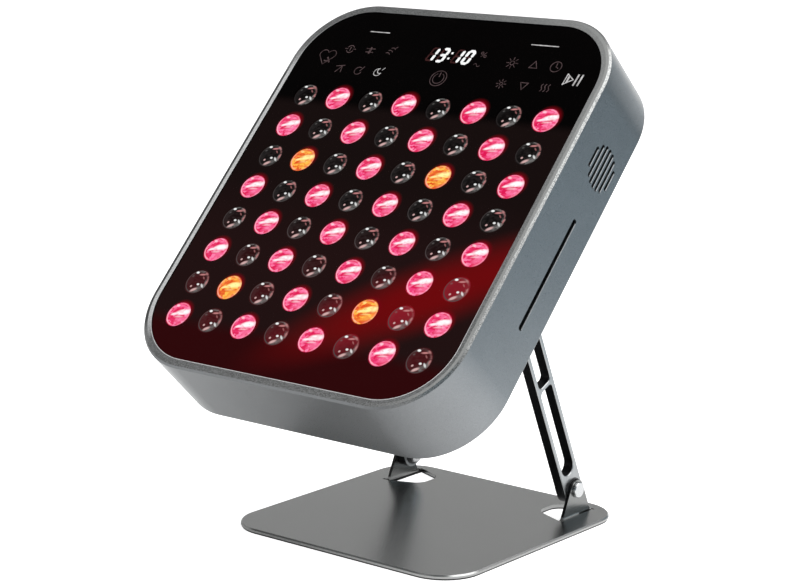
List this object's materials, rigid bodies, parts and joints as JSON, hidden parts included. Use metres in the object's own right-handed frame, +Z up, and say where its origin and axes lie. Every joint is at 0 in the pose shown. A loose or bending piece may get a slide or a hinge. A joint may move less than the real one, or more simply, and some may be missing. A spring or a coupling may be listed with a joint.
{
  "type": "infrared therapy lamp",
  "caption": "Desktop red and infrared light panel: rounded square head with round lenses, held on two hinged arms over a flat base plate.",
  "frame": {"origin": "centre of the base on the surface that it stands on", "axes": "+X to the object's right as seen from the front, +Y to the back, +Z up; the lit front looks towards -Y and up"},
  "size_m": [0.2276, 0.2313, 0.3019],
  "materials": {
    "base steel": "satin metallic grey",
    "pad rubber": "matt",
    "arm aluminium": "brushed side faces, dark blasted edges",
    "pivot steel": "bright",
    "screw steel": "dull",
    "washer plastic": "black nylon",
    "housing aluminium": "bead blasted grey",
    "rear aluminium": "bead blasted grey",
    "bracket steel": "satin metallic grey",
    "panel acrylic": "smoked, polished",
    "tape": "foam tape",
    "board green": "solder mask",
    "board black": "solder mask",
    "display glass": "dark filter",
    "touch copper": "bright",
    "chip plastic": "moulded",
    "red emitter": "lit red",
    "amber emitter": "lit amber",
    "infrared emitter": "dark, infrared",
    "red lens": "clear, lit red",
    "amber lens": "clear, lit amber",
    "clear lens": "clear, unlit",
    "sink aluminium": "extruded",
    "fan plastic": "moulded",
    "speaker steel": "stamped",
    "speaker paper": "paper cone",
    "inlet plastic": "moulded",
    "blade brass": "plated",
    "rocker plastic": "polished",
    "transformer core": "ferrite and tape",
    "capacitor can": "sleeved"
  },
  "bodies": {
    "base": {"base_plate": "base steel", "base_pad": "pad rubber", "lower_pivot_bolts": "pivot steel", "lower_pivot_nuts": "pivot steel"},
    "arms": {"left_arm": "arm aluminium", "right_arm": "arm aluminium", "lower_friction_washers": "washer plastic", "upper_friction_washers": "washer plastic"},
    "head": {"amber_leds": "amber emitter", "amber_lenses": "amber lens", "bracket_backing_plate": "screw steel", "bracket_screws": "screw steel", "capacitors": "capacitor can", "control_board": "board black", "control_board_screws": "screw steel", "control_chips": "chip plastic", "display_module": "display glass", "fan_frame_left": "fan plastic", "fan_frame_right": "fan plastic", "fan_screws": "screw steel", "front_panel": "panel acrylic", "heat_sink": "sink aluminium", "heat_sink_screws": "screw steel", "hinge_bracket": "bracket steel", "housing_shell": "housing aluminium", "infrared_leds": "infrared emitter", "infrared_lenses": "clear lens", "inlet_blades": "blade brass", "led_board": "board green", "led_board_screws": "screw steel", "panel_tape": "tape", "power_inlet": "inlet plastic", "rear_cover": "rear aluminium", "rear_cover_screws": "screw steel", "red_leds": "red emitter", "red_lenses": "red lens", "rocker_frame": "inlet plastic", "speaker_basket": "speaker steel", "speaker_cone": "speaker paper", "speaker_gasket": "pad rubber", "supply_board": "board green", "supply_board_screws": "screw steel", "touch_pads": "touch copper", "transformer": "transformer core", "upper_pivot_bolts": "pivot steel", "upper_pivot_nuts": "pivot steel"},
    "rotor_left": {"fan_rotor_left": "fan plastic"},
    "rotor_right": {"fan_rotor_right": "fan plastic"},
    "rocker": {"rocker_button": "rocker plastic"}
  },
  "joints": [
    {"name": "arm_lean", "type": "hinge", "parent": "base", "child": "arms", "pos_m": [0, 0.061, 0.0186], "axis": [1, 0, 0], "range_deg": [-35, 6]},
    {"name": "head_tilt", "type": "hinge", "parent": "arms", "child": "head", "pos_m": [0, -0.00402, 0.15931], "axis": [1, 0, 0], "range_deg": [-60, 46]},
    {"name": "left_fan_spin", "type": "hinge", "parent": "head", "child": "rotor_left", "pos_m": [-0.048, 0.02486, 0.21743], "axis": [0, -0.7239, 0.6899], "continuous": true},
    {"name": "right_fan_spin", "type": "hinge", "parent": "head", "child": "rotor_right", "pos_m": [0.048, 0.02486, 0.21743], "axis": [0, -0.7239, 0.6899], "continuous": true},
    {"name": "power_rocker", "type": "hinge", "parent": "head", "child": "rocker", "pos_m": [-0.075, -0.05096, 0.13497], "axis": [0, 0.6899, 0.7239], "range_deg": [-16, 0]}
  ]
}
